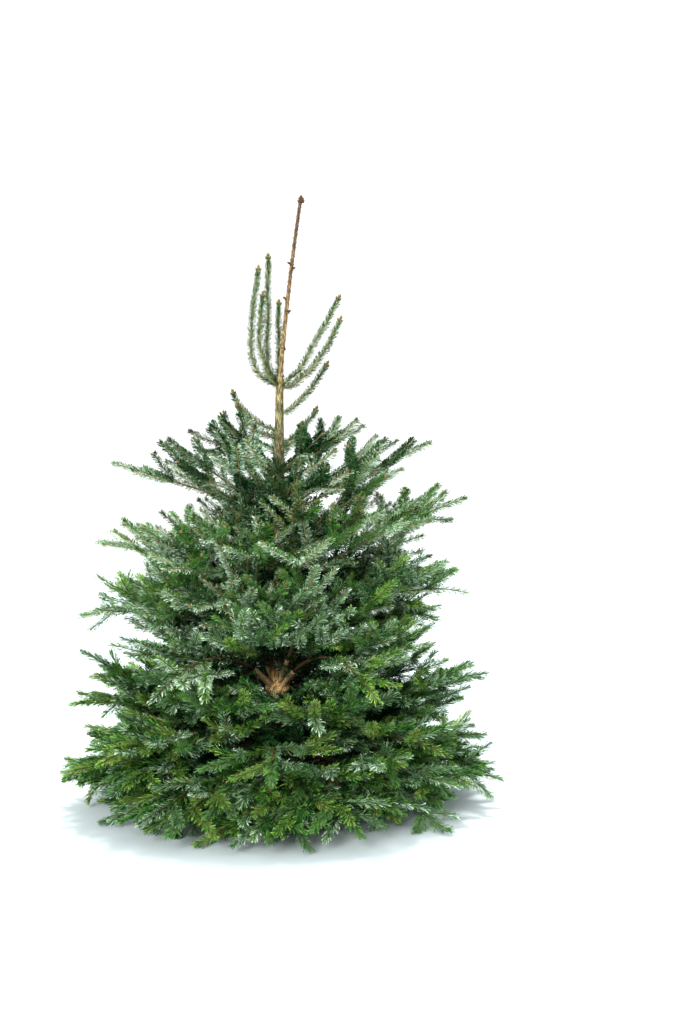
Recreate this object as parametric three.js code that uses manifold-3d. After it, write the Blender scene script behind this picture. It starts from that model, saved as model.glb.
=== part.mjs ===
// A cut fir used as a Christmas tree, on a plain wooden cross.
// Millimetres, +Z up. The origin is on the floor, under the middle of the cross and the trunk.
// Seen from the front, along +Y, +X is to the right. An azimuth of 0 points right and 270 at the viewer.
import * as THREE from "three";
import { mergeVertices } from "three/addons/utils/BufferGeometryUtils.js";
import Module from "manifold-3d";

const { clamp, degToRad, lerp } = THREE.MathUtils;

// The looks of the pieces
const BARK = { color: 0x7d6243, roughness: 0.9, metalness: 0 };
const YOUNG_BARK = { color: 0xa58250, roughness: 0.85, metalness: 0 };
const NEEDLES = { color: 0x2f5a35, roughness: 0.7, metalness: 0 };
const PALE_NEEDLES = { color: 0x6d8f78, roughness: 0.7, metalness: 0 };
const WOOD = { color: 0xc9a877, roughness: 0.75, metalness: 0 };

// Driving sizes of the whole
const TREE_HEIGHT = 2890;
const GAP = 0.4;

// The stand
const CROSS_LENGTH = 720;
const CROSS_TURN = 38;
const PLANK_WIDTH = 96;
const PLANK_THICKNESS = 36;

// The trunk: [height, radius], from the flat cut to the bud at the tip of the leader
const BUTT_HEIGHT = PLANK_THICKNESS + GAP;
const TRUNK_RADII = [
  [BUTT_HEIGHT, 53], [80, 49.5], [150, 47.5], [270, 45], [517, 40.5], [940, 34], [1350, 28],
  [1560, 25], [1760, 22], [1940, 19], [1985, 19], [2030, 12.5], [2250, 11], [2550, 9.5],
  [2835, 8.5], [2850, 15], [2874, 14], [TREE_HEIGHT, 5],
];
const TRUNK_SIDES = 12;
const TRUNK_STEP = 130;
const TRUNK_SWAY = 7;
const TRUNK_LEAN = 12;
const LEADER_HEIGHT = 1985;
const LEADER_LEAN = 104;
const LEADER_BOW = 0.3;

// Shoots round the foot of the leader, each one year old, with no side twigs.
// azimuth, how far out the bend and the tip are, heights of the foot, bend and tip
const LEADER_SHOOTS = [
  { azimuth: 184, out: [215, 94], heights: [1978, 2025, 2538] },
  { azimuth: 150, out: [98, 58], heights: [1985, 2060, 2606] },
  { azimuth: 224, out: [180, 98], heights: [1968, 2095, 2397] },
  { azimuth: 96, out: [85, 63], heights: [1980, 2030, 2390] },
  { azimuth: 12, out: [108, 292], heights: [1980, 2045, 2413] },
  { azimuth: 328, out: [210, 345], heights: [1962, 1990, 2262] },
];
// Single shoots on the trunk between the leader and the first full whorl
const TRUNK_SHOOTS = [
  { azimuth: 176, out: [130, 232], heights: [1768, 1775, 1940] },
  { azimuth: 207, out: [130, 222], heights: [1728, 1738, 1868] },
  { azimuth: 352, out: [110, 232], heights: [1842, 1875, 2075] },
  { azimuth: 22, out: [90, 196], heights: [1705, 1740, 1862] },
];
const SHOOT_RADIUS = 23;
const SHOOT_FOOT_RADIUS = 9;
const SHOOT_FOOT_SLOPE = 5;
const SHOOT_TIP_SHARE = 0.75;
const SHOOT_TIP_SLOPE = 6;
const SHOOT_TIP_BLUNTNESS = 0.45;
const SHOOT_SIDES = 8;
const SHOOT_STEPS = 9;

// Full whorls. height is on the trunk, arch is how far a bough's middle rises over its chord,
// bare is how far out the foliage starts, as a share of the reach, and 0 means at the trunk.
// thick is half the foliage's depth and foot is the radius of a bough at the trunk.
// Each bough: azimuth, reach, height of the tip, half width of its fan of twigs
const WHORLS = [
  {
    name: "w2", look: PALE_NEEDLES, height: 1560, arch: 6, bare: 0, thick: 74, foot: 9,
    boughs: [[190, 425, 1750, 190], [240, 450, 1768, 190], [305, 370, 1722, 180],
      [10, 415, 1785, 190], [95, 430, 1800, 230]],
  },
  {
    name: "w3", look: PALE_NEEDLES, height: 1350, arch: 12, bare: 0, thick: 122, foot: 11,
    boughs: [[177, 810, 1605, 300], [222, 585, 1655, 250], [283, 570, 1590, 270],
      [352, 728, 1695, 290], [42, 690, 1740, 300], [112, 700, 1690, 330]],
  },
  {
    name: "w4", look: NEEDLES, height: 940, arch: 35, bare: 0.2, thick: 180, foot: 13,
    boughs: [[184, 858, 1222, 350], [235, 760, 1130, 340], [280, 740, 1175, 330],
      [324, 850, 1330, 350], [14, 958, 1440, 380], [98, 850, 1330, 430]],
  },
  {
    name: "w5", look: NEEDLES, height: 517, arch: 62, bare: 0.3, thick: 180, foot: 15,
    boughs: [[177, 955, 862, 430], [236, 850, 585, 380], [302, 860, 590, 380],
      [354, 905, 985, 390], [58, 930, 880, 450], [120, 920, 850, 450]],
  },
  {
    name: "w6", look: NEEDLES, height: 270, arch: 78, bare: 0, thick: 132, foot: 16,
    boughs: [[175, 1010, 425, 390], [222, 950, 310, 360], [272, 900, 300, 370],
      [322, 960, 335, 370], [10, 1015, 540, 410], [92, 990, 440, 480]],
  },
  {
    name: "w7", look: NEEDLES, height: 128, arch: 58, bare: 0, thick: 88, foot: 15,
    boughs: [[190, 985, 118, 400], [246, 940, 78, 390], [294, 950, 78, 390],
      [350, 1055, 128, 420], [52, 1010, 110, 440], [122, 1000, 110, 440]],
  },
];
const BOUGH_SIDES = 8;
const BOUGH_STEPS = 4;
const BOUGH_TAPER = 0.72;
// How far a bough's first ring stands off the trunk, as a share of its radius there
const BOUGH_STAND_OFF = 0.4;

// A fan of foliage: how it narrows at its foot and its tip, and how uneven it is
const FAN_SIDES = 8;
const FAN_STEPS = 9;
const FAN_FOOT_WIDTH = 0.1;
const FAN_FOOT_SPREAD = 1.5;
const FAN_FOOT_POWER = 0.7;
const FAN_TIP_POWER = 5;
const FAN_TIP_ROUNDNESS = 0.8;
const FAN_TIP_DEPTH = 0.3;
const FAN_TIP_SLOPE = 2.6;
const FAN_FOOT_DEPTH = 0.12;
const FAN_FOOT_SLOPE = 2.2;
const FAN_SERRATION = 0.2;
const FAN_UNEVEN = 0.12;
const FAN_SIDE_DROOP = 0.16;
const WIDEST_HALF_SECTOR = 1.2;
const BETWEEN_FANS = 6;
const LOWEST_FOLIAGE = 8;
const CLEARANCE = 0.5;
const WELD_DISTANCE = 1e-3;

const tree = new THREE.Group();
tree.name = "christmas_tree";

function addPiece(name, geometry, look) {
  const piece = new THREE.Mesh(geometry, new THREE.MeshStandardMaterial(look));
  piece.name = name;
  tree.add(piece);
  return piece;
}

// A repeatable number from -1 to 1 for two whole numbers
function uneven(a, b) {
  const s = Math.sin(a * 127.1 + b * 311.7) * 43758.5453;
  return 2 * (s - Math.floor(s)) - 1;
}

// The value at x of a line through [x, value] points
function along(points, x) {
  const last = points.length - 1;
  const k = Math.min(last, Math.max(1, points.findIndex(([at]) => at >= x)));
  const [[x0, v0], [x1, v1]] = [points[k - 1], points[k]];
  return lerp(v0, v1, clamp((x - x0) / (x1 - x0), 0, 1));
}

// A closed solid through rings of equally many points, with a fan of triangles over each end.
// Each ring runs counter-clockwise as seen from the far end.
function loft(rings) {
  const sides = rings[0].length;
  const points = rings.flat();
  const first = points.length;
  const middle = (ring) => ring.reduce((sum, p) => sum.add(p), new THREE.Vector3())
    .divideScalar(sides);
  points.push(middle(rings[0]), middle(rings[rings.length - 1]));
  const faces = [];
  for (let i = 0; i < rings.length - 1; i += 1) {
    for (let j = 0; j < sides; j += 1) {
      const a = i * sides + j;
      const b = i * sides + ((j + 1) % sides);
      faces.push(a, b, a + sides, b, b + sides, a + sides);
    }
  }
  const top = (rings.length - 1) * sides;
  for (let j = 0; j < sides; j += 1) {
    const next = (j + 1) % sides;
    faces.push(first, next, j, first + 1, top + j, top + next);
  }
  const geometry = new THREE.BufferGeometry().setFromPoints(points);
  geometry.setIndex(faces);
  geometry.computeVertexNormals();
  return geometry;
}

// A ring round a point, square to a direction
function ringAcross(centre, direction, radius, sides) {
  const across = new THREE.Vector3(0, 0, 1).cross(direction);
  if (across.lengthSq() < 1e-4) across.set(1, 0, 0);
  across.normalize();
  const over = direction.clone().cross(across).normalize();
  return Array.from({ length: sides }, (_, j) => {
    const turn = (2 * Math.PI * j) / sides;
    return centre.clone()
      .addScaledVector(across, radius * Math.cos(turn))
      .addScaledVector(over, radius * Math.sin(turn));
  });
}

// The middle of the trunk at a height: a slight sway, then the leader's lean to the right
function trunkMiddle(height) {
  const sway = TRUNK_SWAY * Math.sin((Math.PI * height) / LEADER_HEIGHT);
  const up = Math.max(0, (height - LEADER_HEIGHT) / (TREE_HEIGHT - LEADER_HEIGHT));
  const lean = LEADER_LEAN * ((1 - LEADER_BOW) * up + LEADER_BOW * up * up);
  const low = Math.min(1, height / LEADER_HEIGHT);
  return new THREE.Vector3(TRUNK_LEAN * low + lean, height > LEADER_HEIGHT ? 0 : sway, height);
}

function trunkRadius(height) {
  return along(TRUNK_RADII, height);
}

// The whole trunk and leader, made thicker all round by grow
function trunkGeometry(grow) {
  const heights = [];
  TRUNK_RADII.forEach(([height], k) => {
    heights.push(height);
    const next = k + 1 < TRUNK_RADII.length ? TRUNK_RADII[k + 1][0] : height;
    const between = Math.floor((next - height) / TRUNK_STEP);
    for (let i = 1; i <= between; i += 1) {
      heights.push(height + ((next - height) * i) / (between + 1));
    }
  });
  const up = new THREE.Vector3(0, 0, 1);
  return loft(heights.map((height) => (
    ringAcross(trunkMiddle(height), up, trunkRadius(height) + grow, TRUNK_SIDES))));
}

function outward(azimuth) {
  return new THREE.Vector3(Math.cos(degToRad(azimuth)), Math.sin(degToRad(azimuth)), 0);
}

// A needle-clad shoot that leaves the trunk and bends upwards, as one bent tapering solid
function shoot(name, { azimuth, out, heights }) {
  const away = outward(azimuth);
  const foot = trunkMiddle(heights[0]);
  const path = new THREE.QuadraticBezierCurve3(
    foot.clone().addScaledVector(away, trunkRadius(heights[0]) + SHOOT_FOOT_RADIUS),
    foot.clone().addScaledVector(away, out[0]).setZ(heights[1]),
    foot.clone().addScaledVector(away, out[1]).setZ(heights[2]),
  );
  const rings = [];
  for (let k = 0; k <= SHOOT_STEPS; k += 1) {
    const at = k / SHOOT_STEPS;
    const clad = Math.min(1, at * SHOOT_FOOT_SLOPE, (1 - at) * SHOOT_TIP_SLOPE + SHOOT_TIP_BLUNTNESS);
    const radius = lerp(SHOOT_FOOT_RADIUS, SHOOT_RADIUS, clad) * lerp(1, SHOOT_TIP_SHARE, at);
    rings.push(ringAcross(path.getPoint(at), path.getTangent(at), radius, SHOOT_SIDES));
  }
  addPiece(name, loft(rings), PALE_NEEDLES);
}

// The line of a bough, as a curve in the upright plane of its azimuth
function boughPath(whorl, [azimuth, reach, tipHeight]) {
  const away = outward(azimuth);
  const foot = trunkMiddle(whorl.height);
  const start = trunkRadius(whorl.height) + whorl.foot * BOUGH_STAND_OFF + GAP;
  const middle = (whorl.height + tipHeight) / 2 + 2 * whorl.arch;
  return new THREE.QuadraticBezierCurve3(
    foot.clone().addScaledVector(away, start),
    foot.clone().addScaledVector(away, (start + reach) / 2).setZ(middle),
    foot.clone().addScaledVector(away, reach).setZ(tipHeight),
  );
}

// The bare foot of a bough, which ends where the foliage starts
function bough(name, whorl, sizes) {
  const path = boughPath(whorl, sizes);
  const end = whorl.bare - GAP / sizes[1];
  const rings = [];
  for (let k = 0; k <= BOUGH_STEPS; k += 1) {
    const at = k / BOUGH_STEPS;
    const radius = whorl.foot * lerp(1, BOUGH_TAPER, at);
    rings.push(ringAcross(path.getPoint(end * at), outward(sizes[0]), radius, BOUGH_SIDES));
  }
  addPiece(name, loft(rings), YOUNG_BARK);
}

// The share of a fan's full half width at a point from its foot, 0, to its tip, 1
function fanOutline(at) {
  const rounded = (1 - at ** FAN_TIP_POWER) ** FAN_TIP_ROUNDNESS;
  return Math.min(1, FAN_FOOT_SPREAD * at ** FAN_FOOT_POWER) * rounded + FAN_FOOT_WIDTH;
}

// The share of a fan's full depth at the same point
function fanDepth(at) {
  return Math.min(1, FAN_FOOT_DEPTH + FAN_FOOT_SLOPE * at, FAN_TIP_DEPTH + FAN_TIP_SLOPE * (1 - at));
}

// One bough's foliage: a flat, uneven fan with a serrated edge, held inside its own sectors to
// the left and right, as far as halfway to the neighbouring boughs. grow makes it larger all round.
function fanGeometry(whorl, sizes, sectors, seed, grow) {
  const [azimuth, , , halfWidth] = sizes;
  const path = boughPath(whorl, sizes);
  const away = outward(azimuth);
  const aside = new THREE.Vector3(-away.y, away.x, 0);
  const foot = trunkMiddle(whorl.height);
  const rings = [];
  for (let k = 0; k <= FAN_STEPS; k += 1) {
    const share = k / FAN_STEPS;
    const centre = path.getPoint(lerp(whorl.bare, 1, share));
    const out = centre.clone().sub(foot).setZ(0).length();
    centre.addScaledVector(away, grow * Math.sign(share - 0.5));
    const serration = 1 - FAN_SERRATION * (k % 2);
    const least = whorl.foot * lerp(BOUGH_TAPER, 1, share);
    const widths = sectors.map((sector, side) => {
      const room = out * Math.tan(Math.min(sector, WIDEST_HALF_SECTOR)) - BETWEEN_FANS;
      const lobe = serration * (1 + FAN_UNEVEN * uneven(seed, 2 * k + side));
      const full = Math.max(least, halfWidth * fanOutline(share) * lobe);
      return grow + Math.min(full, room);
    });
    const swell = 1 + FAN_UNEVEN * uneven(seed, 100 + k);
    const depth = grow + Math.max(least, whorl.thick * fanDepth(share) * swell);
    rings.push(Array.from({ length: FAN_SIDES }, (_, j) => {
      const turn = (2 * Math.PI * j) / FAN_SIDES;
      const across = Math.cos(turn) * (Math.cos(turn) > 0 ? widths[0] : widths[1]);
      const sag = FAN_SIDE_DROOP * Math.abs(across) * (across / halfWidth) ** 2;
      const bump = 1 + FAN_UNEVEN * uneven(seed + k, 7 * j);
      const height = centre.z + Math.sin(turn) * depth * bump - sag;
      const floor = LOWEST_FOLIAGE - grow + j * GAP;
      return centre.clone().addScaledVector(aside, across).setZ(Math.max(height, floor));
    }));
  }
  return loft(rings);
}

const wasm = await Module();
wasm.setup();

function solidOf(geometry) {
  const bare = new THREE.BufferGeometry();
  bare.setAttribute("position", geometry.getAttribute("position"));
  bare.setIndex(geometry.getIndex());
  const merged = mergeVertices(bare, WELD_DISTANCE);
  return new wasm.Manifold(new wasm.Mesh({
    numProp: 3,
    vertProperties: merged.attributes.position.array,
    triVerts: new Uint32Array(merged.index.array),
  }));
}

function geometryOf(solid) {
  const mesh = solid.getMesh();
  const geometry = new THREE.BufferGeometry();
  geometry.setAttribute("position", new THREE.BufferAttribute(mesh.vertProperties, 3));
  geometry.setIndex(new THREE.BufferAttribute(mesh.triVerts, 1));
  geometry.computeVertexNormals();
  return geometry;
}

// The trunk and the fans so far, a little oversize, which the next fan is cut round
const keepClear = [solidOf(trunkGeometry(CLEARANCE))];

function cutFan(name, whorl, sizes, sectors, seed) {
  const whole = solidOf(fanGeometry(whorl, sizes, sectors, seed, 0));
  const cut = keepClear.reduce((solid, other) => solid.subtract(other), whole);
  const [largest] = cut.decompose().sort((a, b) => b.volume() - a.volume());
  addPiece(name, geometryOf(largest), whorl.look);
  keepClear.push(solidOf(fanGeometry(whorl, sizes, sectors, seed, CLEARANCE)));
}

function whorlOfBoughs(whorl, index) {
  const order = whorl.boughs.map(([azimuth]) => azimuth).sort((a, b) => a - b);
  const many = order.length;
  whorl.boughs.forEach((sizes, n) => {
    const spot = order.indexOf(sizes[0]);
    const next = order[(spot + 1) % many] + (spot + 1 === many ? 360 : 0);
    const before = order[(spot + many - 1) % many] - (spot === 0 ? 360 : 0);
    const sectors = [(next - sizes[0]) / 2, (sizes[0] - before) / 2].map(degToRad);
    const label = `${whorl.name}_${n + 1}`;
    if (whorl.bare > 0) bough(`bough_${label}`, whorl, sizes);
    cutFan(`needles_${label}`, whorl, sizes, sectors, 100 * index + 10 * n);
  });
}

// One of two planks halved into each other, under the flat cut of the trunk
function plank(name, turn, notchFromAbove) {
  const half = CROSS_LENGTH / 2;
  const notch = PLANK_WIDTH / 2 + GAP;
  const left = (PLANK_THICKNESS - GAP) / 2;
  const [notched, plain, depth] = notchFromAbove
    ? [PLANK_THICKNESS, 0, left] : [0, PLANK_THICKNESS, PLANK_THICKNESS - left];
  const edge = new THREE.Shape();
  edge.moveTo(-half, plain);
  edge.lineTo(half, plain);
  edge.lineTo(half, notched);
  edge.lineTo(notch, notched);
  edge.lineTo(notch, depth);
  edge.lineTo(-notch, depth);
  edge.lineTo(-notch, notched);
  edge.lineTo(-half, notched);
  edge.closePath();
  const geometry = new THREE.ExtrudeGeometry(edge, { depth: PLANK_WIDTH, bevelEnabled: false });
  geometry.translate(0, 0, -PLANK_WIDTH / 2);
  geometry.rotateX(Math.PI / 2);
  const piece = addPiece(name, geometry, WOOD);
  piece.rotation.z = degToRad(turn);
}

plank("stand_plank_lower", CROSS_TURN, true);
plank("stand_plank_upper", CROSS_TURN + 90, false);
addPiece("trunk", trunkGeometry(0), BARK);
LEADER_SHOOTS.forEach((sizes, k) => shoot(`leader_shoot_${k + 1}`, sizes));
TRUNK_SHOOTS.forEach((sizes, k) => shoot(`trunk_shoot_${k + 1}`, sizes));
WHORLS.forEach(whorlOfBoughs);

export default tree;
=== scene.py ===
# A cut fir used as a Christmas tree: bark, boughs, twigs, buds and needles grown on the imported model.
# Metres, +Z up, -Y towards the viewer. An azimuth of 0 degrees points right and 270 at the viewer.
import math

import bpy
import numpy as np
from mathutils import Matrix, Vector


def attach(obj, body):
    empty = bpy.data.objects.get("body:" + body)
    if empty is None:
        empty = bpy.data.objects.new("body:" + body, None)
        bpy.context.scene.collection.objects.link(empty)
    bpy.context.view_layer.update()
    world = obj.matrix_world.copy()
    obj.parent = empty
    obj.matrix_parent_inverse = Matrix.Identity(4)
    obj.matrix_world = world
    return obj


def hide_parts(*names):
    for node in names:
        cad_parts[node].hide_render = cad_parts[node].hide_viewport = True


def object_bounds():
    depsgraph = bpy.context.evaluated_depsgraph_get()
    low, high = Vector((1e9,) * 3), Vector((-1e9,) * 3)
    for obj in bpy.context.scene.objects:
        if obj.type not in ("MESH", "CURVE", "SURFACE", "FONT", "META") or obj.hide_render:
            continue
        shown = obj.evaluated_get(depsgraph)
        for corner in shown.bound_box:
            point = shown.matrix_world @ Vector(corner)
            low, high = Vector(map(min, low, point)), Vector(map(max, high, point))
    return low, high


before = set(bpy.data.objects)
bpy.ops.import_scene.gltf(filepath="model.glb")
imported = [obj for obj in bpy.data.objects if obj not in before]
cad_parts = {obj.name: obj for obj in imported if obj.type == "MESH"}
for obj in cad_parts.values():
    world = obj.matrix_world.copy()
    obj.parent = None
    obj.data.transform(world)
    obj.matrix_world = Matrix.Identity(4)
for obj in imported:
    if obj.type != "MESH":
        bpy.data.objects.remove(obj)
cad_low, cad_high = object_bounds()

# The camera, at the photograph's own place and viewing angle
CAMERA_AT = (0.3116, -5.0, 1.37)
LENS_MM = 36.42
SENSOR_MM = 36

# Growth of the whorls' boughs. years is a bough's age, step a year's growth of its side shoots,
# spread the angle at which they leave, rise how far they turn up, orders how often they branch,
# more the chance of a further shoot above or below a node, fill how much of the way to the crown's
# edge the first side shoots take beyond their natural length, foot the bough's radius at the trunk,
# arch how far its middle is raised.
WHORLS = {
    "w2": dict(seed=2, years=2, step=0.24, spread=36, rise=10, orders=1, more=0.8, fill=0.0,
               foot=0.007, arch=0.0, foliage="pale"),
    "w3": dict(seed=3, years=3, step=0.27, spread=38, rise=12, orders=2, more=0.2, fill=0.0,
               foot=0.007, arch=0.0, foliage="pale"),
    "w4": dict(seed=4, years=4, step=0.23, spread=42, rise=12, orders=2, more=0.3, fill=0.2,
               foot=0.009, arch=0.0, foliage="mixed"),
    "w5": dict(seed=5, years=5, step=0.180, spread=46, rise=12, orders=3, more=0.3, fill=0.5,
               foot=0.013, arch=0.10, foliage="full"),
    "w6": dict(seed=6, years=5, step=0.175, spread=48, rise=10, orders=3, more=0.2, fill=0.8,
               foot=0.016, arch=0.0, foliage="lush"),
    "w7": dict(seed=7, years=5, step=0.170, spread=48, rise=-12, orders=3, more=0.2, fill=0.8,
               foot=0.015, arch=0.0, foliage="lush"),
}

# Single boughs between two whorls: how many, their years, the least and greatest share of the lower
# whorl's reach, how far they climb as a share of that whorl's own climb, the radius at the trunk, and
# the half width in degrees of the opening that they leave in front
BETWEEN_WHORLS = [
    dict(name="b4", seed=14, above="w3", below="w4", years=3, count=4, reach=(0.60, 0.85), climb=0.65,
         foot=0.008, opening=0),
    dict(name="b5", seed=15, above="w4", below="w5", years=4, count=8, reach=(0.70, 0.95), climb=0.75,
         foot=0.009, opening=55),
    dict(name="b6", seed=16, above="w5", below="w6", years=4, count=7, reach=(0.66, 0.86), climb=0.80,
         foot=0.009, opening=50),
    dict(name="b7", seed=17, above="w6", below="w7", years=4, count=15, reach=(0.90, 1.04), climb=1.8,
         foot=0.009, opening=0),
]
# The stretch of trunk on which they start, and their arch as a share of their reach
BETWEEN_FROM = 0.15
BETWEEN_SPAN = 0.7
BETWEEN_ARCH = 0.05

# The turn from one shoot on a stem to the next, and the azimuth that faces the viewer, in degrees
GOLDEN_TURN = 137.5
FRONT = 270

# Steep boughs of the fifth whorl in front of the trunk: azimuth, reach, heights of foot and tip
FRONT_BOUGHS = [
    dict(azimuth=287, reach=0.68, foot=0.540, tip=1.130),
    dict(azimuth=254, reach=0.60, foot=0.700, tip=1.020),
]
FRONT_BOUGH_RADIUS = 0.012
FRONT_BOUGH_YEARS = 4
FRONT_BOUGH_SAG = 0.03
# Short shoots all round the trunk, which close the view through the crown's dark inside
INNER_SPRAYS = 100
INNER_HEIGHTS = (0.14, 1.45)
INNER_LENGTHS = (0.18, 0.36)
INNER_YEARS = 2
# Seeds of the pieces that aren't in the lists above
SEEDS = dict(trunk=9, leader=1, front=18, inner=19)

# The passage through the foliage in front, through which the fifth whorl's bare limbs are seen. From
# the front it is a wedge that opens upwards from the whorl's node: its foot at the trunk, how it
# drifts sideways and upwards for each metre outwards, how steeply its lower edges rise along the
# limbs, how far below the limbs they run, its height and its half width
PASSAGE_FOOT = (0.01, 0.517)
PASSAGE_DRIFT = (0.064, 0.17)
PASSAGE_SLOPE = 0.5
PASSAGE_MARGIN = 0.035
PASSAGE_HEIGHT = 0.19
PASSAGE_HALF_WIDTH = 0.15
# Short shoots that start below this height would hide the node
NODE_CLEAR_HEIGHT = 0.57
# The stretch of trunk that shows above the crown, and how far to its sides no shoot passes it in front
BARE_TRUNK = (1.62, 1.85)
BARE_TRUNK_ASIDE = 0.04

# Side branches: the share of the length that a further order and a further year have, how much
# faster a bough grows, how unevenly, and how often shaded shoots are missing
VIGOUR = 0.88
YEARLY_SHARE = 0.94
LEADING_SHARE = 1.1
UNEVEN_YEARS = (0.88, 1.12)
SHADED_LOSS = 0.45
SHADED_YEARS = 6
SHORTEST_SHOOT = 0.06
LOWEST_TIP = 0.03
LOWEST_TWIG = 0.022
SHOOT_TIP_RADIUS = 0.0024
RADIUS_PER_YEAR = 0.00096
# Boughs thicker than this have scaly bark, brightened as painted light, with stubs of old needles,
# except in the shade of the lowest whorls
OLD_LIMB_RADIUS = 0.0115
# Shares of the trunk's radius from which boughs, single shoots, and small sprays and buds grow
BOUGH_ROOT = 0.6
SHOOT_ROOT = 0.7
SPRAY_ROOT = 0.8
# How many points a bough's line has, and how far they are apart on a side branch and on one year of it
BOUGH_POINTS = 36
SINGLE_BOUGH_POINTS = 28
BRANCH_STEP = 0.04
YEAR_STEP = 0.05

# Needles by foliage: length, width, how many on a metre of last year's shoot, the angle at which the
# lowest leave the twig, the share that is parted to the twig's two sides, whether they are slim, with
# three corners instead of four, and the share of needles left near the trunk, where it is dark. The
# foliage of whorls has also the share of the way out within which its needles get dark tints as
# painted shade, and the share of its other sprays that show their silvery undersides.
FOLIAGE = {
    "pale": dict(length=0.030, width=0.0040, per_metre=2200, lean=70, parted=0.85, slim=True,
                 inner=1.0, dark=0.5, silver=0.46),
    "mixed": dict(length=0.032, width=0.0038, per_metre=1900, lean=64, parted=0.85, slim=True,
                  inner=0.7, dark=0.4, silver=0.48),
    "full": dict(length=0.036, width=0.0038, per_metre=1500, lean=58, parted=0.75, slim=True,
                 inner=0.5, dark=0.4, silver=0.46),
    "lush": dict(length=0.043, width=0.0037, per_metre=1500, lean=46, parted=0.50, slim=True,
                 inner=0.35, dark=0.64, silver=0.12),
    "inner": dict(length=0.036, width=0.0042, per_metre=1200, lean=60, parted=0.70, slim=True,
                  inner=1.0, dark=0.0, silver=0.5),
    "upswept": dict(length=0.027, width=0.0026, per_metre=2600, lean=66, parted=0.4, slim=False, inner=1.0),
    "stubs": dict(length=0.010, width=0.0036, per_metre=800, lean=60, parted=0.0, slim=True, inner=1.0),
    "bristles": dict(length=0.014, width=0.0032, per_metre=300, lean=64, parted=0.0, slim=True, inner=1.0),
}
# Foliage with finer twigs and more buds
OPEN_FOLIAGE = ("pale", "mixed")
# The share of its needles that a shoot keeps, by its age in years
NEEDLES_LEFT = {1: 1.0, 2: 0.8, 3: 0.42, 4: 0.24, 5: 0.15, 6: 0.1}
FEWEST_NEEDLES = 3
# The share of the way out up to which it is darkest, and the stretch over which it grows light
DARKEST_WITHIN = 0.25
LIGHT_GROWS_OVER = 0.4
# Needles and twigs older than this look old. The old needles are made wider, as they are few.
YOUNG_NEEDLE_YEARS = 2
YOUNG_TWIG_YEARS = 3
OLD_NEEDLE_WIDENING = 2.2
# Parted needles stand at angles from below the twig's side up to its top. Those on top and those at
# the shoot's tip lean away from the twig less than others, by up to LEAN_LOSS.
PARTED_FROM = -35
PARTED_RANGE = 125
LEAN_LOSS = 26
UNPARTED_LEAN_LOSS = 8
LEAN_SCATTER = 9
# On a shoot steeper than this share of upright no needles are parted
STEEP = 0.8
NEEDLE_SIZES = (0.8, 1.08)
NEEDLE_TWIST = 0.5
NEEDLE_FOLD = 0.0007
LOWEST_NEEDLE = 0.003

UP = np.array([0.0, 0.0, 1.0])

rng = np.random.default_rng(SEEDS["trunk"])


def reseed(seed):
    """Starts the random numbers afresh, so that each piece grows alike whatever comes before it."""
    global rng
    rng = np.random.default_rng(seed)


# Small vector helpers

def unit(v):
    return v / np.maximum(np.linalg.norm(v, axis=-1, keepdims=True), 1e-9)


def outward(azimuth):
    turn = math.radians(azimuth)
    return np.array([math.cos(turn), math.sin(turn), 0.0])


def upward_of(axis):
    """The direction square to each axis that points most nearly up."""
    leaning = UP - np.sum(axis * UP, -1, keepdims=True) * axis
    flat = np.linalg.norm(leaning, axis=-1, keepdims=True) < 0.05
    return unit(np.where(flat, np.array([0.0, -1.0, 0.0]), leaning))


def tilted(direction, towards, degrees):
    """direction turned by an angle towards another direction square to it."""
    turn = math.radians(degrees)
    return math.cos(turn) * direction + math.sin(turn) * towards


def sample(line, at):
    """Points and directions at shares of the length of a line of points."""
    steps = np.linalg.norm(np.diff(line, axis=0), axis=1)
    reach = np.concatenate([[0.0], np.cumsum(steps)])
    where = np.clip(at, 0, 1) * reach[-1]
    points = np.stack([np.interp(where, reach, line[:, k]) for k in range(3)], axis=1)
    heading = unit(np.gradient(line, reach, axis=0))
    axes = np.stack([np.interp(where, reach, heading[:, k]) for k in range(3)], axis=1)
    return points, unit(axes)


def line_length(line):
    return float(np.linalg.norm(np.diff(line, axis=0), axis=1).sum())


def bezier(start, control, end, count):
    t = np.linspace(0, 1, count)[:, None]
    return (1 - t) ** 2 * start + 2 * t * (1 - t) * control + t ** 2 * end


# Materials

def principled(name, roughness):
    material = bpy.data.materials.new(name)
    material.use_nodes = True
    shader = material.node_tree.nodes["Principled BSDF"]
    shader.inputs["Roughness"].default_value = roughness
    return material, material.node_tree, shader


def plain(name, colour, roughness, specular=0.2):
    """One plain colour, as needles, buds and thin twigs have, dealt out by spray."""
    material, _, shader = principled(name, roughness)
    shader.inputs["Base Color"].default_value = (*colour, 1)
    shader.inputs["Specular IOR Level"].default_value = specular
    return material


def link(tree, source, socket, node, name):
    tree.links.new(source.outputs[socket], node.inputs[name])


def noise(tree, scale, detail, stretch):
    """A noise over the piece's own place, stretched along its axes."""
    place = tree.nodes.new("ShaderNodeTexCoord")
    mapping = tree.nodes.new("ShaderNodeMapping")
    mapping.inputs["Scale"].default_value = stretch
    link(tree, place, "Object", mapping, "Vector")
    pattern = tree.nodes.new("ShaderNodeTexNoise")
    pattern.inputs["Scale"].default_value = scale
    pattern.inputs["Detail"].default_value = detail
    link(tree, mapping, "Vector", pattern, "Vector")
    return pattern


def ramp(tree, stops):
    node = tree.nodes.new("ShaderNodeValToRGB")
    node.color_ramp.elements[0].position = stops[0][0]
    node.color_ramp.elements[0].color = (*stops[0][1], 1)
    node.color_ramp.elements[1].position = stops[-1][0]
    node.color_ramp.elements[1].color = (*stops[-1][1], 1)
    for position, colour in stops[1:-1]:
        node.color_ramp.elements.new(position).color = (*colour, 1)
    return node


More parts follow.
